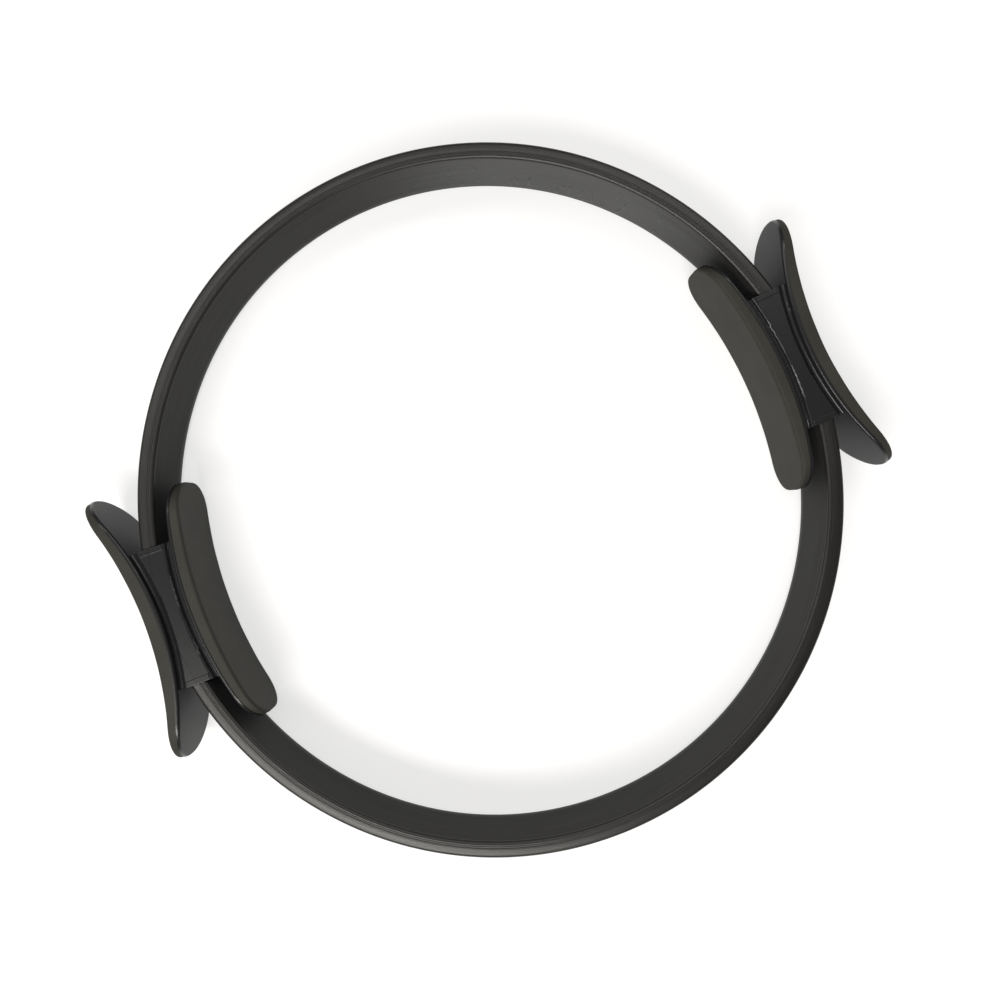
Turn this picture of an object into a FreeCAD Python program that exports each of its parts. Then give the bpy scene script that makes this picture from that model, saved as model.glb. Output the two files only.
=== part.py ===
import FreeCAD, Part
import math
import os

from FreeCAD import Vector

# A pilates ring: two spring strips in foam sleeves make an oval hoop, and two handles join
# the strip ends. Each handle is a pair of moulded shells, screwed together through the strips,
# with a foam pad taped to its outer and to its inner plate. Lengths are in millimetres.
# The hoop lies in the XY plane with its axis along Z, and the handles face along +X and -X.

# Hoop
HOOP_HALF_SPAN = 178.65         # from the centre to the hoop's outer face, along X
HOOP_HALF_HEIGHT = 181.85       # from the centre to the hoop's outer face, along Y
STRIP_THICKNESS = 2.5
STRIP_WIDTH = 26.0
STRIP_CLEARANCE = 0.15          # around the strip, in its sleeve and in the shells
STRIP_END_GAP = 1.0             # between the ends of the two strips inside a handle
FOAM_FACE_WALL = 2.8            # foam on the strip's inner and outer face
FOAM_EDGE_WALL = 4.55           # foam past the strip's edges
SLEEVE_EDGE_RADIUS = 1.6

# Hub, the block between the plates that the hoop runs through. Its front and its back are flat
# along the middle, and fall into a rounded hollow along each plate.
HANDLE_LEAN_DEG = 2.25          # how far each handle sits round from the X axis, towards +Y
HUB_LENGTH = 72.0
HUB_WALL = 0.9                  # in front of and behind the sleeve end, along Z
HOLLOW_RADIUS = 1.5             # of its bottom, and of the shoulder between it and the flat
HOLLOW_DEPTH = 1.8
HOLLOW_TUCK = 0.15              # how far the hollow's curve runs into the plate
LIP_LENGTH = 3.0                # raised rim at each mouth
LIP_HEIGHT = 0.4
LIP_EDGE_RADIUS = 0.35
MOUTH_DEPTH = 8.0               # how far a sleeve end reaches into the hub
MOUTH_CLEARANCE = 0.2           # around and behind the sleeve end
PARTING_GAP = 0.08              # seam between the two shells

# Outer plate and pad. The tip thicknesses are at the ends of the plate.
OUTER_FACE_OFFSET = 6.6         # from the hoop's outer face out to the pad's working face
OUTER_FACE_BEND = 188.0         # radius of the pad's working face
OUTER_PLATE_LENGTH = 141.5
OUTER_CORNER_RADIUS = 19.5
OUTER_PLATE_THICKNESS = 2.1
OUTER_PLATE_TIP_THICKNESS = 1.6
OUTER_PAD_THICKNESS = 6.4
OUTER_PAD_TIP_THICKNESS = 2.9

# Inner plate and pad
INNER_FACE_OFFSET = 15.5        # from the hoop's inner face in to the pad's working face
INNER_FACE_BEND = 227.0
INNER_PLATE_LENGTH = 128.0
INNER_CORNER_RADIUS = 16.0
INNER_PLATE_THICKNESS = 2.0
INNER_PLATE_TIP_THICKNESS = 1.6
INNER_PAD_THICKNESS = 5.4
INNER_PAD_TIP_THICKNESS = 3.4

# What both plates and both pads share
PLATE_OVERHANG = 1.3            # of a plate past the hub's lips, along Z
PLATE_EDGE_RADIUS = 1.2         # along a plate's back
PAD_INSET = 0.4                 # of the pad's outline inside its plate's
PAD_EDGE_RADIUS = 1.0
TAPE_THICKNESS = 0.3
TAPE_INSET = 1.0                # of the tape's outline inside its pad's
TAPE_CLEARANCE = 0.1            # above and below the tape

# Splice plate that bridges the strip ends
SPLICE_THICKNESS = 1.5
SPLICE_WIDTH = 22.0
SPLICE_CORNER_RADIUS = 4.0
SPLICE_END_WALL = 2.0           # between the splice plate and a mouth
SPLICE_CLEARANCE = 0.1

# Self-tapping screws, driven from the outer plate into the inner shell
SCREW_FIRST = 11.0              # from the handle's middle to the first screw
SCREW_EDGE_DISTANCE = 5.0       # from the second screw to the splice plate's end
SCREW_DIAMETER = 3.5
SCREW_TIP_COVER = 2.5           # plastic left between a screw's tip and the inner tape
SCREW_POINT_LENGTH = 2.0
SCREW_HEAD_DIAMETER = 7.0
SCREW_HEAD_HEIGHT = 1.6
SCREW_HEAD_RADIUS = 0.9         # rounding of the head's top edge
SCREW_HEAD_COVER = 0.3          # of the head below the pad's seat
SCREW_CLEARANCE = 0.25          # around the shank in the outer shell, strip and splice plate
PILOT_CLEARANCE = 0.05          # around the shank in the inner shell
RECESS_WIDTH = 0.9              # of the cross in the screw's head
RECESS_LENGTH = 4.0
RECESS_DEPTH = 1.2

CUT_OVERRUN = 2.0               # how far cutting tools reach past what they cut

# The oval is four tangent arcs that meet on the diagonals: two flatter ones at the handles,
# and two tighter ones at the crowns. Their centres lie off the middle by the same distance.
ARC_OFFSET = (HOOP_HALF_HEIGHT - HOOP_HALF_SPAN) / (2 - math.sqrt(2))
SIDE_RADIUS = HOOP_HALF_SPAN + ARC_OFFSET
CROWN_RADIUS = HOOP_HALF_HEIGHT - ARC_OFFSET
DIAGONAL_DEG = 45.0

# The sleeve is built out from the strip
SLEEVE_THICKNESS = STRIP_THICKNESS + 2 * (STRIP_CLEARANCE + FOAM_FACE_WALL)
SLEEVE_WIDTH = STRIP_WIDTH + 2 * (STRIP_CLEARANCE + FOAM_EDGE_WALL)

# Places along a handle's own X axis, measured from the centre of its side arc
STRIP_MID = SIDE_RADIUS - SLEEVE_THICKNESS / 2
POCKET_END = HUB_LENGTH / 2 - MOUTH_DEPTH
MOUTH_OUTER = SIDE_RADIUS + MOUTH_CLEARANCE
MOUTH_INNER = SIDE_RADIUS - SLEEVE_THICKNESS - MOUTH_CLEARANCE
TAPE_ROOM = TAPE_THICKNESS + 2 * TAPE_CLEARANCE
OUTER_FACE = SIDE_RADIUS + OUTER_FACE_OFFSET
OUTER_SEAT = OUTER_FACE - OUTER_PAD_THICKNESS - TAPE_ROOM
OUTER_BACK = OUTER_SEAT - OUTER_PLATE_THICKNESS
INNER_FACE = SIDE_RADIUS - SLEEVE_THICKNESS - INNER_FACE_OFFSET
INNER_SEAT = INNER_FACE + INNER_PAD_THICKNESS + TAPE_ROOM
INNER_BACK = INNER_SEAT + INNER_PLATE_THICKNESS

# Widths along Z, and the splice plate's length between the mouths
HUB_WIDTH = SLEEVE_WIDTH + 2 * (MOUTH_CLEARANCE + HUB_WALL)
PLATE_WIDTH = HUB_WIDTH + 2 * (LIP_HEIGHT + PLATE_OVERHANG)
HOLLOW_TURN = math.acos(1 - HOLLOW_DEPTH / (2 * HOLLOW_RADIUS))
HOLLOW_WIDTH = HOLLOW_RADIUS * (1 + 2 * math.sin(HOLLOW_TURN)) - HOLLOW_TUCK
SPLICE_LENGTH = 2 * (POCKET_END - SPLICE_END_WALL)

UP = Vector(0, 0, 1)
ALONG_X = Vector(1, 0, 0)
ORIGIN = Vector(0, 0, 0)


class Bend:
    """A cylinder about a line along Z: it crosses the handle's X axis at x, and opens away from
    or towards the hoop's centre, as side is 1 or -1."""

    def __init__(self, x, radius, side):
        self.x = x
        self.radius = radius
        self.side = side

    def sag(self, y):
        """How far the cylinder leaves its middle at a distance y along the handle."""
        return self.radius - math.sqrt(self.radius ** 2 - y ** 2)

    def at(self, y):
        """X of the cylinder at a distance y along the handle."""
        return self.x + self.side * self.sag(y)

    def moved(self, distance):
        """The coaxial cylinder that lies further out along X by a distance."""
        return Bend(self.x + distance, self.radius - self.side * distance, self.side)

    def centre_x(self):
        """X of the cylinder's axis."""
        return self.x + self.side * self.radius

    def backed(self, x, thinning, half_length):
        """The bend at x behind this one, nearer to it by a thinning at the plate's ends."""
        sag = self.sag(half_length) + thinning
        return Bend(x, (half_length ** 2 + sag ** 2) / (2 * sag), self.side)


OUTER_HALF = OUTER_PLATE_LENGTH / 2
INNER_HALF = INNER_PLATE_LENGTH / 2
OUTER_WORK_FACE = Bend(OUTER_FACE, OUTER_FACE_BEND, 1)
OUTER_PAD_THINNING = OUTER_PAD_THICKNESS - OUTER_PAD_TIP_THICKNESS
OUTER_PLATE_THINNING = OUTER_PLATE_THICKNESS - OUTER_PLATE_TIP_THICKNESS
OUTER_SEAT_FACE = OUTER_WORK_FACE.backed(OUTER_SEAT, OUTER_PAD_THINNING, OUTER_HALF)
OUTER_BACK_FACE = OUTER_SEAT_FACE.backed(OUTER_BACK, OUTER_PLATE_THINNING, OUTER_HALF)
INNER_WORK_FACE = Bend(INNER_FACE, INNER_FACE_BEND, -1)
INNER_PAD_THINNING = INNER_PAD_THICKNESS - INNER_PAD_TIP_THICKNESS
INNER_PLATE_THINNING = INNER_PLATE_THICKNESS - INNER_PLATE_TIP_THICKNESS
INNER_SEAT_FACE = INNER_WORK_FACE.backed(INNER_SEAT, INNER_PAD_THINNING, INNER_HALF)
INNER_BACK_FACE = INNER_SEAT_FACE.backed(INNER_BACK, INNER_PLATE_THINNING, INNER_HALF)


def arc_point(centre, radius, degrees):
    """The point of a circle in the XY plane at an angle."""
    angle = math.radians(degrees)
    return centre + Vector(radius * math.cos(angle), radius * math.sin(angle), 0)


def arc_edge(centre, radius, start, end):
    """The arc about a centre from one angle to another, both in degrees."""
    points = [arc_point(centre, radius, a) for a in (start, (start + end) / 2, end)]
    return Part.Arc(*points).toShape()


def raised(edges, width):
    """The closed outline of these edges, raised by a width that is centred on z = 0."""
    face = Part.Face(Part.Wire(Part.__sortEdges__(edges)))
    return face.translated(UP * (-width / 2)).extrude(UP * width)


def handle_angle(distance):
    """Degrees about the side arc's centre from the handle's middle to a distance along it."""
    return math.degrees(math.asin(distance / STRIP_MID))


def hoop_half(half, start, depth_out, depth_in, width):
    """One half of the oval between two depths below its outer face. It starts and ends at a
    distance from the handles' middles. half is 1 for the upper half and -1 for the lower."""
    begin = handle_angle(start) + half * HANDLE_LEAN_DEG
    arcs = [
        (Vector(-ARC_OFFSET, 0, 0), SIDE_RADIUS, begin, DIAGONAL_DEG),
        (Vector(0, ARC_OFFSET, 0), CROWN_RADIUS, DIAGONAL_DEG, 180 - DIAGONAL_DEG),
        (Vector(ARC_OFFSET, 0, 0), SIDE_RADIUS, 180 - DIAGONAL_DEG, 180 - begin),
    ]
    edges = []
    for depth in (depth_out, depth_in):
        edges += [arc_edge(centre, radius - depth, a, b) for centre, radius, a, b in arcs]
    for centre, radius, angle in (arcs[0][:3], arcs[2][:2] + arcs[2][3:]):
        ends = [arc_point(centre, radius - depth, angle) for depth in (depth_out, depth_in)]
        edges.append(Part.makeLine(*ends))
    band = raised(edges, width)
    if half < 0:
        band.rotate(ORIGIN, ALONG_X, 180)
    return band


def rim_edges(shape, width):
    """The curved edges at the top and the bottom of a shape that is this wide along Z."""
    return [e for e in shape.Edges
            if e.BoundBox.ZLength < width / 2 and not isinstance(e.Curve, (Part.Line, Part.LineSegment))]


def sector(radius_in, radius_out, width, y_from, y_to):
    """A slice of a tube about the side arc's centre, from y_from to y_to along the handle."""
    base = Vector(0, 0, -width / 2)
    tube = Part.makeCylinder(radius_out, width, base).cut(Part.makeCylinder(radius_in, width, base))
    return tube.common(Part.makeBox(radius_out, y_to - y_from, width, Vector(0, y_from, -width / 2)))


def slab_between(low, high, length, width):
    """The plate between two bends, this long along the handle and this wide along Z."""
    half = length / 2
    edges = []
    for bend in (low, high):
        points = [Vector(bend.at(y), y, 0) for y in (-half, 0, half)]
        edges.append(Part.Arc(*points).toShape())
    for y in (-half, half):
        edges.append(Part.makeLine(Vector(low.at(y), y, 0), Vector(high.at(y), y, 0)))
    return raised(edges, width)


def rounded_outline(length, width, radius, x_from, x_to):
    """A prism along X with a rounded rectangle as its section, long in Y and wide in Z."""
    block = Part.makeBox(x_to - x_from, length, width, Vector(x_from, -length / 2, -width / 2))
    corners = [e for e in block.Edges if e.BoundBox.XLength > (x_to - x_from) / 2]
    return block.makeFillet(radius, corners)


def face_loop(shape, bend):
    """The edges round the face of a shape that lies on a bend."""
    middle = Vector(bend.x, 0, 0)
    for face in shape.Faces:
        if isinstance(face.Surface, Part.Cylinder) and abs(face.Surface.Axis.z) > abs(face.Surface.Axis.x):
            if face.Surface.projectPoint(middle).distanceToPoint(middle) < TAPE_CLEARANCE:
                return face.OuterWire.Edges
    return []


def curved_plate(low, high, length, width, corner):
    """A plate between two bends, with a rounded rectangle as its outline."""
    reach = (low.at(length / 2), high.at(length / 2), low.x, high.x)
    outline = rounded_outline(length, width, corner, min(reach) - CUT_OVERRUN, max(reach) + CUT_OVERRUN)
    return slab_between(low, high, length + CUT_OVERRUN, width + CUT_OVERRUN).common(outline)


def rod(diameter, x_from, x_to, y):
    """A round rod along X."""
    return Part.makeCylinder(diameter / 2, x_to - x_from, Vector(x_from, y, 0), ALONG_X)


def screw_places():
    """Distances along the handle of the screws, on both sides of its middle."""
    one_side = (SCREW_FIRST, SPLICE_LENGTH / 2 - SCREW_EDGE_DISTANCE)
    return [side * y for side in (-1, 1) for y in one_side]


def head_seat(y):
    """X of the shoulder under a screw's head."""
    return OUTER_SEAT_FACE.at(y) - SCREW_HEAD_COVER - SCREW_HEAD_HEIGHT


def screw_length():
    """Length under the head, the same for all, as far as the inner plate leaves room."""
    return min(head_seat(y) - INNER_SEAT_FACE.at(y) for y in screw_places()) - SCREW_TIP_COVER


def screw_holes():
    """Clear holes for the shanks of one handle's screws."""
    return [rod(SCREW_DIAMETER + 2 * SCREW_CLEARANCE, INNER_BACK, OUTER_FACE, y) for y in screw_places()]


def hollow(bend):
    """What is cut along a plate's back: a section with a round bottom that turns over into a round
    shoulder, swung about the plate's bend."""
    front = HUB_WIDTH / 2
    top = front + CUT_OVERRUN
    floor = front - HOLLOW_DEPTH
    bottom = HOLLOW_RADIUS - HOLLOW_TUCK
    way = HOLLOW_RADIUS * math.sin(HOLLOW_TURN)
    ease = HOLLOW_TURN / 2

    def place(from_plate, z):
        return Vector(bend.x - bend.side * from_plate, 0, z)

    dip = [place(-HOLLOW_TUCK, floor + HOLLOW_RADIUS), place(bottom, floor),
           place(bottom + way, front - HOLLOW_DEPTH / 2)]
    shoulder = [dip[2], place(HOLLOW_WIDTH - HOLLOW_RADIUS * math.sin(ease),
                              front - HOLLOW_RADIUS * (1 - math.cos(ease))), place(HOLLOW_WIDTH, front)]
    corners = [shoulder[2], place(HOLLOW_WIDTH, top), place(-HOLLOW_TUCK, top), dip[0]]
    edges = [Part.Arc(*dip).toShape(), Part.Arc(*shoulder).toShape()]
    edges += [Part.makeLine(a, b) for a, b in zip(corners, corners[1:])]
    section = Part.Face(Part.Wire(Part.__sortEdges__(edges)))
    axis = Vector(bend.centre_x(), 0, 0)
    swing = math.degrees(math.asin((HUB_LENGTH / 2 + CUT_OVERRUN) / bend.radius))
    section.rotate(axis, UP, -swing)
    return section.revolve(axis, UP, 2 * swing)


def hub_solid():
    """The block between the plates, with hollows in its front and back and a lip at each mouth."""
    hub = slab_between(INNER_BACK_FACE.moved(-INNER_PLATE_TIP_THICKNESS / 2),
                       OUTER_BACK_FACE.moved(OUTER_PLATE_TIP_THICKNESS / 2),
                       HUB_LENGTH, HUB_WIDTH)
    for turn in (0, 180):
        tools = [hollow(INNER_BACK_FACE), hollow(OUTER_BACK_FACE)]
        for tool in tools:
            tool.rotate(ORIGIN, ALONG_X, turn)
        hub = hub.cut(tools)
    half = HUB_LENGTH / 2
    low = INNER_BACK_FACE.at(half - LIP_LENGTH) + HOLLOW_WIDTH
    high = OUTER_BACK_FACE.at(half - LIP_LENGTH) - HOLLOW_WIDTH
    for y in (-half, half - LIP_LENGTH):
        lip = Part.makeBox(high - low, LIP_LENGTH, HUB_WIDTH + 2 * LIP_HEIGHT,
                           Vector(low, y, -HUB_WIDTH / 2 - LIP_HEIGHT))
        rims = [e for e in lip.Edges if e.BoundBox.ZLength < LIP_HEIGHT]
        hub = hub.fuse(lip.makeFillet(LIP_EDGE_RADIUS, rims))
    return hub


def handle_block():
    """Both plates and the hub between them, before the insides are cut."""
    inner = curved_plate(INNER_SEAT_FACE, INNER_BACK_FACE, INNER_PLATE_LENGTH, PLATE_WIDTH,
                         INNER_CORNER_RADIUS)
    inner = inner.makeFillet(PLATE_EDGE_RADIUS, face_loop(inner, INNER_BACK_FACE))
    outer = curved_plate(OUTER_BACK_FACE, OUTER_SEAT_FACE, OUTER_PLATE_LENGTH, PLATE_WIDTH,
                         OUTER_CORNER_RADIUS)
    outer = outer.makeFillet(PLATE_EDGE_RADIUS, face_loop(outer, OUTER_BACK_FACE))
    return inner.multiFuse([hub_solid(), outer]).removeSplitter()


def splice_blank(clearance):
    """The splice plate without its holes, or its pocket if it has a clearance."""
    face = STRIP_MID - STRIP_THICKNESS / 2 - STRIP_CLEARANCE
    half = SPLICE_LENGTH / 2 + clearance
    width = SPLICE_WIDTH + 2 * clearance
    blank = sector(face - SPLICE_THICKNESS - clearance, face, width, -half, half)
    outline = rounded_outline(2 * half, width, SPLICE_CORNER_RADIUS, INNER_BACK, OUTER_BACK)
    return blank.common(outline)


def handle_insides():
    """What is cut from the block: the strips' slot, the mouths for the sleeve ends, the splice
    plate's pocket and the screw holes."""
    slot_half = STRIP_THICKNESS / 2 + STRIP_CLEARANCE
    reach = HUB_LENGTH / 2 + CUT_OVERRUN
    tools = [sector(STRIP_MID - slot_half, STRIP_MID + slot_half, STRIP_WIDTH + 2 * STRIP_CLEARANCE,
                    -reach, reach)]
    for y_from, y_to in ((-reach, -POCKET_END), (POCKET_END, reach)):
        mouth = sector(MOUTH_INNER, MOUTH_OUTER, SLEEVE_WIDTH + 2 * MOUTH_CLEARANCE, y_from, y_to)
        tools.append(mouth.makeFillet(SLEEVE_EDGE_RADIUS, rim_edges(mouth, SLEEVE_WIDTH)))
    tools.append(splice_blank(SPLICE_CLEARANCE))
    for y in screw_places():
        seat = head_seat(y)
        tip = seat - screw_length() - PILOT_CLEARANCE
        tools.append(rod(SCREW_HEAD_DIAMETER + 2 * SCREW_CLEARANCE, seat, OUTER_FACE + CUT_OVERRUN, y))
        tools.append(rod(SCREW_DIAMETER + 2 * SCREW_CLEARANCE, STRIP_MID, seat + CUT_OVERRUN, y))
        tools.append(rod(SCREW_DIAMETER + 2 * PILOT_CLEARANCE, tip, STRIP_MID + CUT_OVERRUN, y))
    return tools


def shells():
    """The outer and the inner shell of a handle, parted along the middle of the strips."""
    block = handle_block().cut(handle_insides())
    height = PLATE_WIDTH + 2 * CUT_OVERRUN
    base = Vector(0, 0, -height / 2)
    outer = block.cut(Part.makeCylinder(STRIP_MID + PARTING_GAP / 2, height, base))
    inner = block.common(Part.makeCylinder(STRIP_MID - PARTING_GAP / 2, height, base))
    return outer, inner


def screw(y):
    """A pan-head screw with a cross recess and a short point."""
    seat = head_seat(y)
    top = seat + SCREW_HEAD_HEIGHT
    head = rod(SCREW_HEAD_DIAMETER, seat, top, y)
    crown = [e for e in head.Edges if e.BoundBox.XMin > (seat + top) / 2]
    head = head.makeFillet(SCREW_HEAD_RADIUS, crown)
    for width, height in ((RECESS_WIDTH, RECESS_LENGTH), (RECESS_LENGTH, RECESS_WIDTH)):
        corner = Vector(top - RECESS_DEPTH, y - width / 2, -height / 2)
        head = head.cut(Part.makeBox(RECESS_DEPTH, width, height, corner))
    shank_end = seat - screw_length() + SCREW_POINT_LENGTH
    shank = rod(SCREW_DIAMETER, shank_end, seat, y)
    point = Part.makeCone(SCREW_DIAMETER / 2, 0, SCREW_POINT_LENGTH, Vector(shank_end, y, 0), -ALONG_X)
    return head.fuse([shank, point]).removeSplitter()


def tape(seat, length, corner, side):
    """The adhesive sheet on a plate's seat."""
    near = seat.moved(side * TAPE_CLEARANCE)
    far = near.moved(side * TAPE_THICKNESS)
    low, high = (near, far) if side > 0 else (far, near)
    inset = PAD_INSET + TAPE_INSET
    return curved_plate(low, high, length - 2 * inset, PLATE_WIDTH - 2 * inset, corner - inset)


def pad(seat, face, length, corner, side):
    """A foam pad over the tape on a plate. Its working face has soft edges."""
    bonded = seat.moved(side * TAPE_ROOM)
    low, high = (bonded, face) if side > 0 else (face, bonded)
    plain = curved_plate(low, high, length - 2 * PAD_INSET, PLATE_WIDTH - 2 * PAD_INSET,
                         corner - PAD_INSET)
    return plain.makeFillet(PAD_EDGE_RADIUS, face_loop(plain, face))


def placed(shape, side):
    """A handle's piece turned to its place on the hoop, at +X or -X as side is 1 or -1."""
    moved = shape.copy()
    moved.rotate(ORIGIN, UP, HANDLE_LEAN_DEG if side > 0 else 180 - HANDLE_LEAN_DEG)
    moved.translate(Vector(-side * ARC_OFFSET, 0, 0))
    return moved


def spring_strip(half):
    """One strip, with the holes for the screws of both handles at its ends."""
    depth = FOAM_FACE_WALL + STRIP_CLEARANCE
    strip = hoop_half(half, STRIP_END_GAP / 2, depth, depth + STRIP_THICKNESS, STRIP_WIDTH)
    return strip.cut([placed(hole, side) for side in (1, -1) for hole in screw_holes()])


def foam_sleeve(half):
    """One sleeve, whose ends reach into the mouths of both handles. An end is square to the arc, so
    its inner corner comes nearest to the handle's middle and takes the clearance."""
    start = (POCKET_END + MOUTH_CLEARANCE) * STRIP_MID / (SIDE_RADIUS - SLEEVE_THICKNESS)
    sleeve = hoop_half(half, start, 0, SLEEVE_THICKNESS, SLEEVE_WIDTH)
    sleeve = sleeve.makeFillet(SLEEVE_EDGE_RADIUS, rim_edges(sleeve, SLEEVE_WIDTH))
    bore = hoop_half(half, POCKET_END - CUT_OVERRUN, FOAM_FACE_WALL, SLEEVE_THICKNESS - FOAM_FACE_WALL,
                     STRIP_WIDTH + 2 * STRIP_CLEARANCE)
    return sleeve.cut(bore)


def handle_pieces():
    """The pieces of one handle that lies along X, by name."""
    outer_shell, inner_shell = shells()
    return {
        "outer_shell": outer_shell,
        "inner_shell": inner_shell,
        "outer_pad": pad(OUTER_SEAT_FACE, OUTER_WORK_FACE, OUTER_PLATE_LENGTH, OUTER_CORNER_RADIUS, 1),
        "inner_pad": pad(INNER_SEAT_FACE, INNER_WORK_FACE, INNER_PLATE_LENGTH, INNER_CORNER_RADIUS, -1),
        "outer_pad_tape": tape(OUTER_SEAT_FACE, OUTER_PLATE_LENGTH, OUTER_CORNER_RADIUS, 1),
        "inner_pad_tape": tape(INNER_SEAT_FACE, INNER_PLATE_LENGTH, INNER_CORNER_RADIUS, -1),
        "splice_plate": splice_blank(0).cut(screw_holes()),
        "screws": Part.makeCompound([screw(y) for y in screw_places()]),
    }


def main():
    nodes = {}
    for half, name in ((1, "upper"), (-1, "lower")):
        nodes[name + "_spring_strip"] = spring_strip(half)
        nodes[name + "_foam_sleeve"] = foam_sleeve(half)
    for piece, shape in handle_pieces().items():
        for side, name in ((1, "right"), (-1, "left")):
            nodes[name + "_" + piece] = placed(shape, side)
    os.makedirs("parts", exist_ok=True)
    for name, shape in nodes.items():
        shape.exportStep("parts/" + name + ".step")
        print(name, "solids", len(shape.Solids), "valid", shape.isValid(), "volume", round(shape.Volume))


main()
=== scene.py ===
import math

import bpy
import numpy as np
from mathutils import Matrix, Vector


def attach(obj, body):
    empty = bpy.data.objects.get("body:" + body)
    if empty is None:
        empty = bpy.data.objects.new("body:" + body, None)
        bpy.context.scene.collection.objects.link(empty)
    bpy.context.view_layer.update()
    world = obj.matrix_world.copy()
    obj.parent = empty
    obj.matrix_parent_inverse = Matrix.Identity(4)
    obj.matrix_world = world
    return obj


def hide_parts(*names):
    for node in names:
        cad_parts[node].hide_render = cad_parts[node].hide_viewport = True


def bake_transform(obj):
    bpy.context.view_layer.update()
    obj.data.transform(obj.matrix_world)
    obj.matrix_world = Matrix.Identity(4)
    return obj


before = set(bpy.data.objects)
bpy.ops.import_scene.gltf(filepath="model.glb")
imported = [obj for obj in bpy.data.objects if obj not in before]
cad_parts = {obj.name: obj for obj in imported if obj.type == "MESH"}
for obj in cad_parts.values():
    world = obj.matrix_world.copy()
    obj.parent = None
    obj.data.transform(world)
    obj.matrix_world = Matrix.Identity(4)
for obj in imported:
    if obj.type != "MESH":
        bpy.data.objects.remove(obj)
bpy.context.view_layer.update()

MM = 0.001

# Hoop, in millimetres: an oval of four tangent arcs that meet on the diagonals
ARC_OFFSET = 5.4627
SIDE_RADIUS = 184.1127
CROWN_RADIUS = 176.3873
SLEEVE_THICKNESS = 8.4
SLEEVE_WIDTH = 35.4
SLEEVE_EDGE_RADIUS = 1.6
SLEEVE_DOME = 0.5               # how far the front and back faces fall off to their edges
DIE_LINES = (5.4, 6.2)          # depths of fine grooves along the front and back faces
DIE_LINE_DEPTH = 0.1
DIE_LINE_WIDTH = 0.22
BORE_DEPTH = 2.8
BORE_WIDTH = 26.3
BORE_EDGE_RADIUS = 0.05
STRIP_DEPTH = 2.95
STRIP_THICKNESS = 2.5
STRIP_WIDTH = 26.0
STRIP_EDGE_RADIUS = 0.2

# Angles round the hoop, in degrees: from a handle's middle to the ends of the sleeve and the strip and to
# the hub's mouth, and from the X axis to the handle's middle
SLEEVE_START_DEG = 9.236
STRIP_START_DEG = 0.16
LEAN_DEG = 2.25

# Patterns, in millimetres: how far apart their light and dark places lie. The pores of both foams are
# 0.1 to 0.3 mm, and the fibres of the tape 0.02 mm, drawn coarser so that a picture of 0.5 mm per pixel
# shows them
FOAM_BLOTCH = 36.0
DIE_STREAK = (70.0, 1.1)        # along the sleeve, and across
FOAM_PORE = 0.6
CREASE = (3.0, 17.0)            # along the sleeve, and across
PAD_PATCH = 22.0
PAD_PORE = 0.9
MOULD_RIPPLE = 8.0
MOULD_HAZE = 25.0
ROVING = (165.0, 0.8)           # along the strip, and across
TAPE_FIBRE = 1.4
ZINC_GRAIN = 2.5

# The sleeve's wear, in millimetres: how far round its section the inside face begins and the creases
# end, and where and how far the inside is rubbed smooth
INSIDE_FACE = (51.0, 56.0)
CREASES_END = (68.0, 80.0)
RUB_CENTRE = (100.0, 143.0, 0.0)
RUB_REACH = (30.0, 130.0)

# Finishes, on a scale from 0 to 1
NOISE_SPAN = (0.3, 0.7)         # most values of a noise lie in here
CREASE_SPAN = (0.6, 0.78)       # values of the noise where a crease begins and where it is deepest
INSIDE_DULLING = 0.4            # roughness that the sleeve's inside adds to its skin, where it isn't rubbed
POLISH_SPAN = (0.05, 0.4)       # how squarely a shell's face looks forward where polish begins and is full

# Handle pads, in millimetres along the handle's own axes: where the bonded back and the working
# face cross the middle, and the radii that they are bent to
OUTER_PAD = {"length": 140.7, "corner": 19.1, "side": 1,
             "back": (184.313, 152.657), "face": (190.713, 188.0)}
INNER_PAD = {"length": 127.2, "corner": 15.6, "side": -1,
             "back": (165.613, 187.818), "face": (160.213, 227.0)}
PAD_WIDTH = 40.2
PAD_FACE_EDGE = 1.7
PAD_SKIRT = 0.46                # how far the rim reaches past the bonded face, over the tape's edge
PAD_SKIRT_WIDTH = 0.9
PAD_WAVE_HEIGHT = 0.04
PAD_WAVES = ((5.3, 7.1), (9.7, 6.1), 21.0)  # per radian of the face's waves: crossed, slanting and long
PAD_PHASE = 1.3                 # shift of the waves in radians, the other way on the other handle

# How finely the surfaces are divided, the angle in degrees past which an edge is sharp, and how near
# points have to be, in millimetres, to become one
SLEEVE_STEPS = (8, 36, 36)      # round a corner of the section, and along its short and long sides
STRIP_STEPS = (3, 3, 3)
SLEEVE_ROWS = 200
STRIP_ROWS = 120
PAD_STEPS = (9, 64, 10)         # round a corner of the outline, and along its long and short sides
PAD_EDGE_STEPS = 9
PAD_FACE_RINGS = 14
PAD_BACK_RINGS = 8
HOOP_CREASE_DEG = 40
PAD_CREASE_DEG = 50
WELD = 0.0013


def linear(hexa):
    """An sRGB hex colour as linear RGBA: each channel c becomes ((c + 0.055) / 1.055) ** 2.4, or
    c / 12.92 in the darkest tones."""
    channels = np.array([int(hexa[i:i + 2], 16) for i in (1, 3, 5)]) / 255
    values = np.where(channels <= 0.04045, channels / 12.92, ((channels + 0.055) / 1.055) ** 2.4)
    return (*values, 1.0)


def grid_faces(rows, columns, flip):
    """Quads of a grid of points that is stored row by row. flip turns the faces round."""
    row = np.arange(rows - 1)[:, None]
    column = np.arange(columns - 1)[None, :]
    corner = row * columns + column
    quads = np.stack([corner, corner + 1, corner + columns + 1, corner + columns], -1).reshape(-1, 4)
    return quads[:, ::-1] if flip else quads


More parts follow.
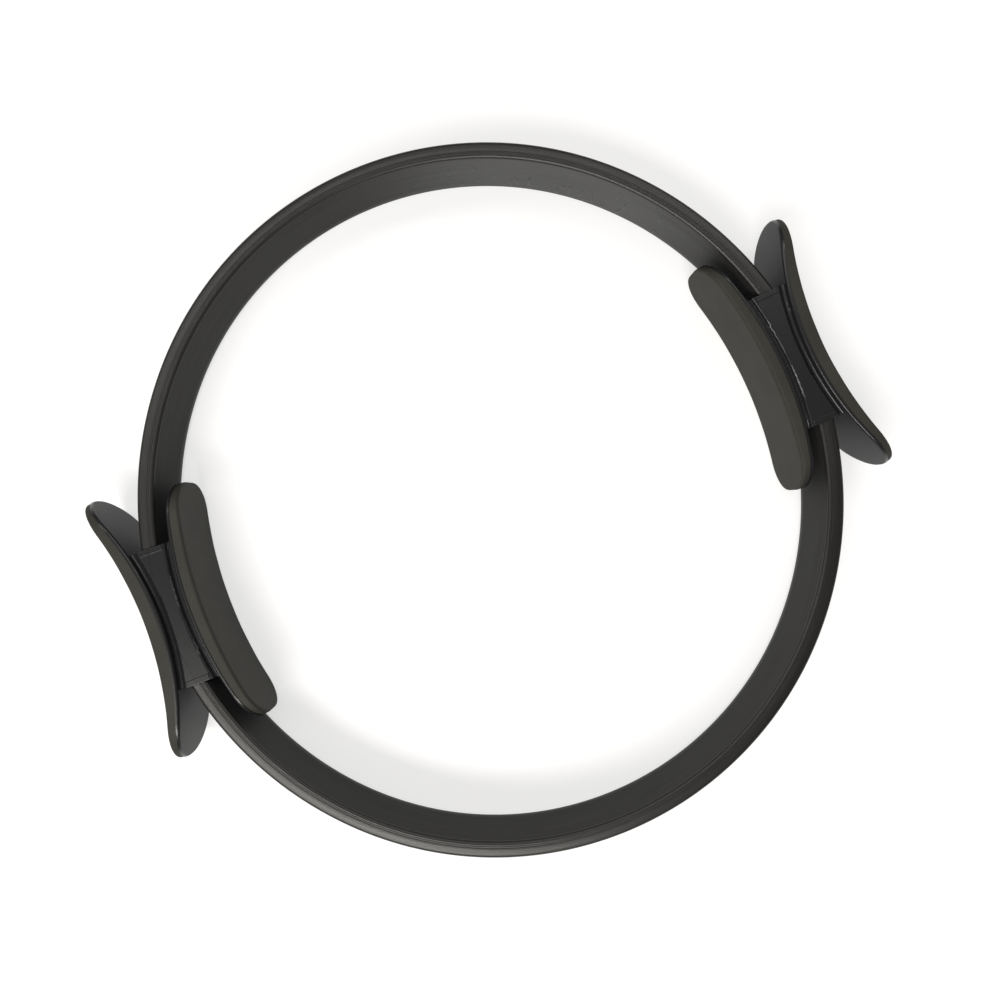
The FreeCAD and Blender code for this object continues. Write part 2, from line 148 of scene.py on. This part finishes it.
def piece(name, points, quads, material, crease_deg, uv):
    """A mesh object from points in millimetres and quads. Points in the same place become one, so a
    grid's seam and a middle line that it folds on are closed. uv gives each point a place in
    millimetres on its own surface."""
    _, first, same = np.unique(np.round(points / WELD).astype(np.int64), axis=0,
                               return_index=True, return_inverse=True)
    same = same.ravel()
    folded = same[quads] == same[np.roll(quads, 1, axis=1)]
    triangles = quads[folded.sum(1) == 1]
    corners = [quads[~folded.any(1)], triangles[~folded[folded.sum(1) == 1]].reshape(-1, 3)]
    mesh = bpy.data.meshes.new(name)
    mesh.from_pydata((points[first] * MM).tolist(), [], [f for c in corners for f in same[c].tolist()])
    layer = mesh.uv_layers.new(name="surface")
    layer.data.foreach_set("uv", (uv[np.concatenate([c.ravel() for c in corners])] * MM).ravel())
    mesh.materials.append(material)
    mesh.shade_smooth()
    mesh.set_sharp_from_angle(angle=math.radians(crease_deg))
    made = bpy.data.objects.new(name, mesh)
    bpy.context.collection.objects.link(made)
    return made


def oval(angle, depth):
    """Points below the oval's outer face in its first quarter, by the angle of the outward normal:
    the arc's centre plus its radius less the depth, times (cos, sin). Up to 45 degrees that is the
    side arc, and from there the crown arc."""
    side = angle < math.pi / 4
    radius = np.where(side, SIDE_RADIUS, CROWN_RADIUS) - depth
    x = np.where(side, -ARC_OFFSET, 0) + radius * np.cos(angle)
    y = np.where(side, 0, ARC_OFFSET) + radius * np.sin(angle)
    return x, y


def oval_length(angle):
    """Arc length from the crown down to an angle, along the middle of the sleeve."""
    crown = (CROWN_RADIUS - SLEEVE_THICKNESS / 2) * (math.pi / 2 - np.maximum(angle, math.pi / 4))
    side = (SIDE_RADIUS - SLEEVE_THICKNESS / 2) * np.maximum(math.pi / 4 - angle, 0)
    return crown + side


def rounded_loop(half_u, half_v, radius, steps):
    """A rounded rectangle about the origin, as a loop of (u, v): each corner is a quarter circle about
    its own centre, and each side is divided evenly. steps are those round a corner, along u and along v."""
    turns = np.linspace(0, math.pi / 2, steps[0] + 1)
    corners = []
    for quarter, (u, v) in enumerate(((1, 1), (-1, 1), (-1, -1), (1, -1))):
        angle = turns + quarter * math.pi / 2
        corners.append(np.stack([u * (half_u - radius) + radius * np.cos(angle),
                                 v * (half_v - radius) + radius * np.sin(angle)], -1))
    loop = []
    for quarter, (here, after) in enumerate(zip(corners, corners[1:] + corners[:1])):
        share = np.linspace(0, 1, steps[1 + quarter % 2] + 1)[1:-1, None]
        loop += [here, here[-1] * (1 - share) + after[0] * share]
    return np.concatenate(loop)


def rounded_section(depth_from, depth_to, width, radius, steps):
    """A rounded rectangle as (depth, z), between two depths below the hoop's outer face."""
    loop = rounded_loop((depth_to - depth_from) / 2, width / 2, radius, steps)
    return loop + np.array([(depth_from + depth_to) / 2, 0])


def foam_section():
    """The sleeve's section: a rounded rectangle whose front and back fall off to their edges with the
    square of the distance from their middle, with fine grooves as bell curves in depth."""
    section = rounded_section(0, SLEEVE_THICKNESS, SLEEVE_WIDTH, SLEEVE_EDGE_RADIUS, SLEEVE_STEPS)
    depth, z = section[:, 0], section[:, 1]
    edge = np.clip((np.abs(z) - SLEEVE_WIDTH / 2) / SLEEVE_EDGE_RADIUS + 1, 0, 1)
    drop = SLEEVE_DOME * (2 * depth / SLEEVE_THICKNESS - 1) ** 2
    for line in DIE_LINES:
        drop = drop + DIE_LINE_DEPTH * np.exp(-((depth - line) / DIE_LINE_WIDTH) ** 2)
    return np.stack([depth, z - np.sign(z) * edge * drop], -1)


def hoop_quarter(name, start_deg, sections, right, upper, material, rows):
    """A quarter of the hoop: a section carried along the oval from start_deg to the crown, as a grid
    of angle by place round the section. A second section makes a bore inside the first, and rings
    join the two at both ends. Without a bore, quads across the section close the ends."""
    angle = np.linspace(math.radians(start_deg), math.pi / 2, rows)
    flip = right * upper > 0
    sheets, quads, places, total = [], [], [], 0
    for loop in sections:
        closed = np.concatenate([loop, loop[:1]])
        x, y = oval(angle[:, None], closed[None, :, 0])
        z = np.broadcast_to(closed[None, :, 1], x.shape)
        sheets.append(np.stack([right * x, upper * y, z], -1).reshape(-1, 3))
        steps = np.linalg.norm(np.diff(closed, axis=0), axis=1)
        along = np.broadcast_to(right * oval_length(angle)[:, None], x.shape)
        around = np.broadcast_to(np.concatenate([[0], np.cumsum(steps)])[None, :], x.shape)
        places.append(np.stack([along, around], -1).reshape(-1, 2))
        quads.append(grid_faces(rows, len(closed), flip != (total > 0)) + total)
        total += x.size
    n = len(sections[0])
    for first, turned in ((0, flip), (rows - 1, not flip)):
        k = np.arange(n) + first * (n + 1)
        if len(sections) > 1:
            inner = k + rows * (n + 1)
            caps = np.stack([k, inner, inner + 1, k + 1], -1)
        else:
            half = np.arange(n // 2 - 1)
            caps = first * (n + 1) + np.stack([n - 1 - half, n - 2 - half, half + 1, half], -1)
        quads.append(caps if turned else caps[:, ::-1])
    points, quads, places = (np.concatenate(stack) for stack in (sheets, quads, places))
    return piece(name, points, quads, material, HOOP_CREASE_DEG, places)


def bend_x(bend, side, y):
    """X of a bent face: where it crosses the middle, plus or minus its circle's sag at y."""
    middle, radius = bend
    return middle + side * (radius - np.sqrt(radius ** 2 - y ** 2))


def pad_outline(pad, inset):
    """A pad's outline as (y, z), closed and drawn in by an inset: its corners shrink in step with its
    half width, so the last inset leaves only a line along the middle."""
    half_z = PAD_WIDTH / 2 - inset
    radius = pad["corner"] * half_z / (PAD_WIDTH / 2)
    loop = rounded_loop(pad["length"] / 2 - inset, half_z, radius, PAD_STEPS)
    return np.concatenate([loop, loop[:1]])


def to_hoop(points, right):
    """Points on a handle's own axes, turned by the handle's lean and moved to the side arc's centre."""
    angle = math.radians(LEAN_DEG if right > 0 else 180 - LEAN_DEG)
    cos, sin = math.cos(angle), math.sin(angle)
    turn = np.array([[cos, -sin, 0], [sin, cos, 0], [0, 0, 1]])
    return points @ turn.T + np.array([-right * ARC_OFFSET, 0, 0])


def pad_surface(name, pad, right, phase, material):
    """A die-cut foam pad: rings of its outline run from the middle line of the working face to its
    edge, round the soft edge, down the wall to a skirt over the tape's edge, and back to the middle
    of the bonded face. Each ring lies on the bent face, lowered by r - sqrt(r^2 - (r - inset)^2)
    within the edge's radius r. Sine waves, 0.12 mm high at most, keep the face from being perfect."""
    bow = np.linspace(0, math.pi / 2, PAD_EDGE_STEPS)
    face_insets = np.linspace(PAD_WIDTH / 2, PAD_FACE_EDGE, PAD_FACE_RINGS)[:-1]
    face_rings = [(inset, 0.0) for inset in face_insets]
    face_rings += [(PAD_FACE_EDGE * (1 - math.sin(a)), PAD_FACE_EDGE * (1 - math.cos(a))) for a in bow]
    back_rings = [(0.0, -PAD_SKIRT), (PAD_SKIRT_WIDTH, -PAD_SKIRT), (PAD_SKIRT_WIDTH, 0.0)]
    back_insets = np.linspace(PAD_SKIRT_WIDTH, PAD_WIDTH / 2, PAD_BACK_RINGS)[1:]
    back_rings += [(inset, 0.0) for inset in back_insets]
    crossed, slanting, long = PAD_WAVES
    side = pad["side"]
    rings, places = [], []
    for bend, way, listed in ((pad["face"], -side, face_rings), (pad["back"], side, back_rings)):
        for inset, drop in listed:
            y, z = pad_outline(pad, inset).T
            x = bend_x(bend, side, y) + way * drop
            if listed is face_rings:
                wave = np.sin(y / crossed[0] + phase) * np.sin(z / crossed[1] + phase)
                wave = wave + np.sin(y / slanting[0] - z / slanting[1] + phase)
                x = x - side * PAD_WAVE_HEIGHT * np.abs(wave + np.sin(y / long + 2 * phase))
            rings.append(np.stack([x, y, z], -1))
            places.append(np.stack([y, z], -1))
    points = np.stack(rings)
    rows, columns = points.shape[:2]
    quads = grid_faces(rows, columns, side < 0)
    placed = to_hoop(points.reshape(-1, 3), right)
    return piece(name, placed, quads, material, PAD_CREASE_DEG, np.concatenate(places))


def node(tree, kind, inputs=None, **settings):
    """Adds a shader node with its settings, and sets or links its inputs."""
    made = tree.nodes.new(kind)
    for key, value in settings.items():
        setattr(made, key, value)
    for key, value in (inputs or {}).items():
        if isinstance(value, bpy.types.NodeSocket):
            tree.links.new(value, made.inputs[key])
        else:
            made.inputs[key].default_value = value
    return made


def new_material(name):
    """An empty material and its node tree."""
    material = bpy.data.materials.new(name)
    material.use_nodes = True
    material.node_tree.nodes.clear()
    return material, material.node_tree


def cells(size):
    """The scale of a pattern whose cells are this many millimetres across: one over the size in metres."""
    return 1 / (size * MM)


def foam_sleeve_material():
    """Extruded nitrile foam, skinned where it left the die: a dry, nearly black skin with faint lines
    along it, duller inside the hoop. Near the upper crown the inside is rubbed smooth, and short
    creases run across it where the bend presses it together."""
    material, tree = new_material("extruded_nitrile_foam")
    smooth = {"interpolation_type": "SMOOTHSTEP"}
    place = node(tree, "ShaderNodeTexCoord")
    blotch = node(tree, "ShaderNodeTexNoise",
                  {"Vector": place.outputs["Object"], "Scale": cells(FOAM_BLOTCH), "Detail": 3.0})
    lines_at = node(tree, "ShaderNodeMapping",
                    {"Vector": place.outputs["UV"], "Scale": (*map(cells, DIE_STREAK), 1.0)})
    lines = node(tree, "ShaderNodeTexNoise", {"Vector": lines_at.outputs[0], "Scale": 1.0, "Detail": 4.0})
    pores = node(tree, "ShaderNodeTexNoise",
                 {"Vector": place.outputs["Object"], "Scale": cells(FOAM_PORE), "Detail": 2.0})
    folds_at = node(tree, "ShaderNodeMapping",
                    {"Vector": place.outputs["UV"], "Scale": (*map(cells, CREASE), 1.0)})
    folds = node(tree, "ShaderNodeTexNoise", {"Vector": folds_at.outputs[0], "Scale": 1.0, "Detail": 1.0})
    split = node(tree, "ShaderNodeSeparateXYZ", {"Vector": place.outputs["UV"]})
    inside = node(tree, "ShaderNodeMapRange",
                  {"Value": split.outputs["Y"], "From Min": INSIDE_FACE[0] * MM,
                   "From Max": INSIDE_FACE[1] * MM}, **smooth)
    front = node(tree, "ShaderNodeMapRange",
                 {"Value": split.outputs["Y"], "From Min": CREASES_END[1] * MM,
                  "From Max": CREASES_END[0] * MM}, **smooth)
    away = node(tree, "ShaderNodeVectorMath", {0: place.outputs["Object"], 1: Vector(RUB_CENTRE) * MM},
                operation="DISTANCE")
    rubbed = node(tree, "ShaderNodeMapRange",
                  {"Value": away.outputs["Value"], "From Min": RUB_REACH[1] * MM,
                   "From Max": RUB_REACH[0] * MM}, **smooth)
    unrubbed = node(tree, "ShaderNodeMath", {0: 1.0, 1: rubbed.outputs[0]}, operation="SUBTRACT")
    fold = node(tree, "ShaderNodeMapRange",
                {"Value": folds.outputs["Fac"], "From Min": CREASE_SPAN[0],
                 "From Max": CREASE_SPAN[1]}, **smooth)
    inside_front = node(tree, "ShaderNodeMath", {0: inside.outputs[0], 1: front.outputs[0]},
                        operation="MULTIPLY")
    rubbed_fold = node(tree, "ShaderNodeMath", {0: rubbed.outputs[0], 1: fold.outputs[0]},
                       operation="MULTIPLY")
    crease = node(tree, "ShaderNodeMath", {0: inside_front.outputs[0], 1: rubbed_fold.outputs[0]},
                  operation="MULTIPLY")
    dull = node(tree, "ShaderNodeMath", {0: inside.outputs[0], 1: unrubbed.outputs[0]}, operation="MULTIPLY")
    both_tones = node(tree, "ShaderNodeMath", {0: blotch.outputs["Fac"], 1: lines.outputs["Fac"]},
                      operation="ADD")
    mean_tone = node(tree, "ShaderNodeMath", {0: both_tones.outputs[0], 1: 1 / 2}, operation="MULTIPLY")
    colour = node(tree, "ShaderNodeValToRGB", {"Fac": mean_tone.outputs[0]})
    colour.color_ramp.elements[0].position = NOISE_SPAN[0]
    colour.color_ramp.elements[0].color = linear("#191918")
    colour.color_ramp.elements[1].position = NOISE_SPAN[1]
    colour.color_ramp.elements[1].color = linear("#222120")
    skin = node(tree, "ShaderNodeMapRange",
                {"Value": lines.outputs["Fac"], "From Min": NOISE_SPAN[0], "From Max": NOISE_SPAN[1],
                 "To Min": 0.33, "To Max": 0.43})
    rough = node(tree, "ShaderNodeMath", {0: dull.outputs[0], 1: INSIDE_DULLING, 2: skin.outputs[0]},
                 operation="MULTIPLY_ADD")
    bump_lines = node(tree, "ShaderNodeBump",
                      {"Height": lines.outputs["Fac"], "Strength": 0.2, "Distance": 0.3 * MM})
    bump_folds = node(tree, "ShaderNodeBump",
                      {"Height": crease.outputs[0], "Strength": 0.6, "Distance": 0.6 * MM,
                       "Normal": bump_lines.outputs[0]}, invert=True)
    bump = node(tree, "ShaderNodeBump",
                {"Height": pores.outputs["Fac"], "Strength": 0.3, "Distance": 0.1 * MM,
                 "Normal": bump_folds.outputs[0]})
    shader = node(tree, "ShaderNodeBsdfPrincipled",
                  {"Base Color": colour.outputs["Color"], "Roughness": rough.outputs[0], "IOR": 1.5,
                   "Normal": bump.outputs[0]})
    node(tree, "ShaderNodeOutputMaterial", {"Surface": shader.outputs[0]})
    return material


def pad_material():
    """Die-cut EVA foam: a dry olive-grey face with fine closed cells and a soft, patchy tone."""
    material, tree = new_material("die_cut_eva_foam")
    place = node(tree, "ShaderNodeTexCoord")
    patch = node(tree, "ShaderNodeTexNoise",
                 {"Vector": place.outputs["Object"], "Scale": cells(PAD_PATCH), "Detail": 4.0})
    pores = node(tree, "ShaderNodeTexNoise",
                 {"Vector": place.outputs["Object"], "Scale": cells(PAD_PORE), "Detail": 2.0})
    colour = node(tree, "ShaderNodeValToRGB", {"Fac": patch.outputs["Fac"]})
    colour.color_ramp.elements[0].position = NOISE_SPAN[0]
    colour.color_ramp.elements[0].color = linear("#282722")
    colour.color_ramp.elements[1].position = NOISE_SPAN[1]
    colour.color_ramp.elements[1].color = linear("#32312b")
    bump = node(tree, "ShaderNodeBump",
                {"Height": pores.outputs["Fac"], "Strength": 0.4, "Distance": 0.15 * MM})
    shader = node(tree, "ShaderNodeBsdfPrincipled",
                  {"Base Color": colour.outputs["Color"], "Roughness": 0.72, "IOR": 1.48,
                   "Normal": bump.outputs[0]})
    node(tree, "ShaderNodeOutputMaterial", {"Surface": shader.outputs[0]})
    return material


def shell_material():
    """Injection-moulded polypropylene: black, polished on the rims and the hub's front and back, and
    satin on the flanks, which draw along the mould. A slight ripple breaks up its highlights."""
    material, tree = new_material("polished_moulded_polypropylene")
    place = node(tree, "ShaderNodeTexCoord")
    ripple = node(tree, "ShaderNodeTexNoise",
                  {"Vector": place.outputs["Object"], "Scale": cells(MOULD_RIPPLE), "Detail": 1.0})
    haze = node(tree, "ShaderNodeTexNoise",
                {"Vector": place.outputs["Object"], "Scale": cells(MOULD_HAZE), "Detail": 3.0})
    colour = node(tree, "ShaderNodeValToRGB", {"Fac": haze.outputs["Fac"]})
    colour.color_ramp.elements[0].color = linear("#1b1c1e")
    colour.color_ramp.elements[1].color = linear("#232325")
    surface = node(tree, "ShaderNodeNewGeometry")
    facing = node(tree, "ShaderNodeSeparateXYZ", {"Vector": surface.outputs["Normal"]})
    level = node(tree, "ShaderNodeMath", {0: facing.outputs["Z"]}, operation="ABSOLUTE")
    rough = node(tree, "ShaderNodeMapRange",
                 {"Value": level.outputs[0], "From Min": POLISH_SPAN[0], "From Max": POLISH_SPAN[1],
                  "To Min": 0.5, "To Max": 0.28}, interpolation_type="SMOOTHSTEP")
    bump = node(tree, "ShaderNodeBump",
                {"Height": ripple.outputs["Fac"], "Strength": 0.08, "Distance": 0.4 * MM})
    shader = node(tree, "ShaderNodeBsdfPrincipled",
                  {"Base Color": colour.outputs["Color"], "Roughness": rough.outputs[0], "IOR": 1.49,
                   "Specular IOR Level": 0.45, "Normal": bump.outputs[0]})
    node(tree, "ShaderNodeOutputMaterial", {"Surface": shader.outputs[0]})
    return material


def strip_material():
    """Pultruded glass fibre in polyester: grey-green, with the glass rovings as fine lines along it."""
    material, tree = new_material("pultruded_glass_fibre")
    place = node(tree, "ShaderNodeTexCoord")
    rovings_at = node(tree, "ShaderNodeMapping",
                      {"Vector": place.outputs["UV"], "Scale": (*map(cells, ROVING), 1.0)})
    rovings = node(tree, "ShaderNodeTexNoise", {"Vector": rovings_at.outputs[0], "Scale": 1.0, "Detail": 3.0})
    colour = node(tree, "ShaderNodeValToRGB", {"Fac": rovings.outputs["Fac"]})
    colour.color_ramp.elements[0].color = linear("#4c5048")
    colour.color_ramp.elements[1].color = linear("#8d9184")
    bump = node(tree, "ShaderNodeBump",
                {"Height": rovings.outputs["Fac"], "Strength": 0.3, "Distance": 0.1 * MM})
    shader = node(tree, "ShaderNodeBsdfPrincipled",
                  {"Base Color": colour.outputs["Color"], "Roughness": 0.4, "IOR": 1.54,
                   "Normal": bump.outputs[0]})
    node(tree, "ShaderNodeOutputMaterial", {"Surface": shader.outputs[0]})
    return material


def tape_material():
    """Acrylic adhesive on a tissue carrier: a milky sheet with short random fibres."""
    material, tree = new_material("acrylic_adhesive_tape")
    place = node(tree, "ShaderNodeTexCoord")
    fibres = node(tree, "ShaderNodeTexNoise",
                  {"Vector": place.outputs["Object"], "Scale": cells(TAPE_FIBRE), "Detail": 3.0})
    colour = node(tree, "ShaderNodeValToRGB", {"Fac": fibres.outputs["Fac"]})
    colour.color_ramp.elements[0].color = linear("#b9b5a6")
    colour.color_ramp.elements[1].color = linear("#d8d5c8")
    shader = node(tree, "ShaderNodeBsdfPrincipled",
                  {"Base Color": colour.outputs["Color"], "Roughness": 0.55, "IOR": 1.48})
    node(tree, "ShaderNodeOutputMaterial", {"Surface": shader.outputs[0]})
    return material


def steel_material():
    """Zinc-plated steel: a pale metal, slightly mottled in tone and shine."""
    material, tree = new_material("zinc_plated_steel")
    place = node(tree, "ShaderNodeTexCoord")
    mottle = node(tree, "ShaderNodeTexNoise",
                  {"Vector": place.outputs["Object"], "Scale": cells(ZINC_GRAIN), "Detail": 3.0})
    colour = node(tree, "ShaderNodeValToRGB", {"Fac": mottle.outputs["Fac"]})
    colour.color_ramp.elements[0].color = linear("#9a9ea2")
    colour.color_ramp.elements[1].color = linear("#c3c6c9")
    rough = node(tree, "ShaderNodeMapRange",
                 {"Value": mottle.outputs["Fac"], "To Min": 0.25, "To Max": 0.45})
    shader = node(tree, "ShaderNodeBsdfPrincipled",
                  {"Base Color": colour.outputs["Color"], "Roughness": rough.outputs[0], "Metallic": 1.0})
    node(tree, "ShaderNodeOutputMaterial", {"Surface": shader.outputs[0]})
    return material


# The hoop's sleeves and strips, in quarters
foam = foam_sleeve_material()
glass_fibre = strip_material()
sleeve_section = foam_section()
bore_section = rounded_section(BORE_DEPTH, SLEEVE_THICKNESS - BORE_DEPTH, BORE_WIDTH,
                               BORE_EDGE_RADIUS, SLEEVE_STEPS)
strip_section = rounded_section(STRIP_DEPTH, STRIP_DEPTH + STRIP_THICKNESS, STRIP_WIDTH,
                                STRIP_EDGE_RADIUS, STRIP_STEPS)
for upper, half in ((1, "upper"), (-1, "lower")):
    for right, side in ((1, "right"), (-1, "left")):
        lean = upper * LEAN_DEG
        sleeve = hoop_quarter(f"{half}_{side}_sleeve", SLEEVE_START_DEG + lean,
                              (sleeve_section, bore_section), right, upper, foam, SLEEVE_ROWS)
        strip = hoop_quarter(f"{half}_{side}_strip", STRIP_START_DEG + lean, (strip_section,),
                             right, upper, glass_fibre, STRIP_ROWS)
        for made, part in ((sleeve, "foam_sleeve"), (strip, "spring_strip")):
            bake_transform(made)
            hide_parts(f"{half}_{part}")

# The pads, and the finishes of the other pieces of each handle
eva = pad_material()
polypropylene = shell_material()
adhesive = tape_material()
zinc = steel_material()
finishes = {"outer_shell": polypropylene, "inner_shell": polypropylene, "outer_pad_tape": adhesive,
            "inner_pad_tape": adhesive, "splice_plate": zinc, "screws": zinc}
for right, side in ((1, "right"), (-1, "left")):
    for place, pad in (("outer", OUTER_PAD), ("inner", INNER_PAD)):
        made = pad_surface(f"{side}_{place}_foam_pad", pad, right, PAD_PHASE * right + pad["side"], eva)
        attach(made, f"{side}_handle")
        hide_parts(f"{side}_{place}_pad")
    for part, finish in finishes.items():
        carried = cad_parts[f"{side}_{part}"]
        carried.data.materials.clear()
        carried.data.materials.append(finish)

# Stage, in millimetres. The camera looks down on the ring, whose X axis is turned anticlockwise in the
# picture by VIEW_TURN. Its place and target are measured to the right, up and towards it in the picture.
VIEW_TURN = math.radians(22.68)
CAMERA_PLACE = (0.1, -5.2, 394.0)
CAMERA_TARGET = (3.9, -1.0, 17.0)
CAMERA_LENS = 26.816
SENSOR_WIDTH = 36.0
LAMP_TINT = "#fffcf6"
ROOM_STRENGTH = 0.14
FLOOR_Z = -20.5
FLOOR_HALF = 15000.0
FLOOR_LIFT = 0.62               # a glow that brings the floor up to white where it is seen


def in_view(right, up, height):
    """A place given in millimetres to the right, up and towards the camera in the picture."""
    x = right * math.cos(VIEW_TURN) + up * math.sin(VIEW_TURN)
    y = -right * math.sin(VIEW_TURN) + up * math.cos(VIEW_TURN)
    return Vector((x, y, height)) * MM


def aimed(obj, place, target, up):
    """Puts a camera or a lamp in place and turns it to a target."""
    back = (place - target).normalized()
    across = up.cross(back).normalized()
    axes = Matrix((across, back.cross(across), back)).transposed()
    obj.matrix_world = Matrix.Translation(place) @ axes.to_4x4()


def lamp(name, bearing, height, distance, size, power):
    """A rectangular soft lamp that faces the ring's middle, at a bearing in the picture and a height
    over the floor in degrees, and a distance in millimetres. Its two sides are in metres."""
    light = bpy.data.lights.new(name, "AREA")
    light.shape = "RECTANGLE"
    light.size, light.size_y = size
    light.energy = power
    light.color = linear(LAMP_TINT)[:3]
    made = bpy.data.objects.new(name, light)
    bpy.context.collection.objects.link(made)
    bearing, height = math.radians(bearing), math.radians(height)
    flat = distance * math.cos(height)
    place = in_view(flat * math.cos(bearing), flat * math.sin(bearing), distance * math.sin(height))
    aimed(made, place, Vector((0, 0, 0)), Vector((0, 0, 1)))


lamp("window", bearing=-113, height=51, distance=1500, size=(1.2, 0.42), power=19)
lamp("room", bearing=106, height=63, distance=1600, size=(3.2, 0.5), power=14)

world = bpy.data.worlds.new("room_light")
bpy.context.scene.world = world
world.use_nodes = True
background = world.node_tree.nodes["Background"]
background.inputs["Color"].default_value = linear("#ffffff")
background.inputs["Strength"].default_value = ROOM_STRENGTH

floor_material, tree = new_material("white_paper_floor")
paper = node(tree, "ShaderNodeBsdfDiffuse", {"Color": linear("#bcbcbc")})
seen = node(tree, "ShaderNodeLightPath")
camera_or_glossy = node(tree, "ShaderNodeMath",
                        {0: seen.outputs["Is Camera Ray"], 1: seen.outputs["Is Glossy Ray"]},
                        operation="MAXIMUM")
all_seen = node(tree, "ShaderNodeMath",
                {0: camera_or_glossy.outputs[0], 1: seen.outputs["Is Transmission Ray"]},
                operation="MAXIMUM")
lift = node(tree, "ShaderNodeMath", {0: all_seen.outputs[0], 1: FLOOR_LIFT}, operation="MULTIPLY")
glow = node(tree, "ShaderNodeEmission", {"Color": linear("#ffffff"), "Strength": lift.outputs[0]})
both = node(tree, "ShaderNodeAddShader", {0: paper.outputs[0], 1: glow.outputs[0]})
node(tree, "ShaderNodeOutputMaterial", {"Surface": both.outputs[0]})
floor_mesh = bpy.data.meshes.new("floor")
corners = np.array([(-1, -1), (1, -1), (1, 1), (-1, 1)]) * FLOOR_HALF * MM
floor_mesh.from_pydata([(x, y, FLOOR_Z * MM) for x, y in corners], [], [(0, 1, 2, 3)])
floor_mesh.materials.append(floor_material)
floor = bpy.data.objects.new("floor", floor_mesh)
bpy.context.collection.objects.link(floor)

view = bpy.data.cameras.new("camera")
view.lens = CAMERA_LENS
view.sensor_width = SENSOR_WIDTH
camera = bpy.data.objects.new("camera", view)
bpy.context.collection.objects.link(camera)
bpy.context.scene.camera = camera
aimed(camera, in_view(*CAMERA_PLACE), in_view(*CAMERA_TARGET), up=in_view(0, 1, 0))

bpy.context.scene.view_settings.view_transform = "Standard"
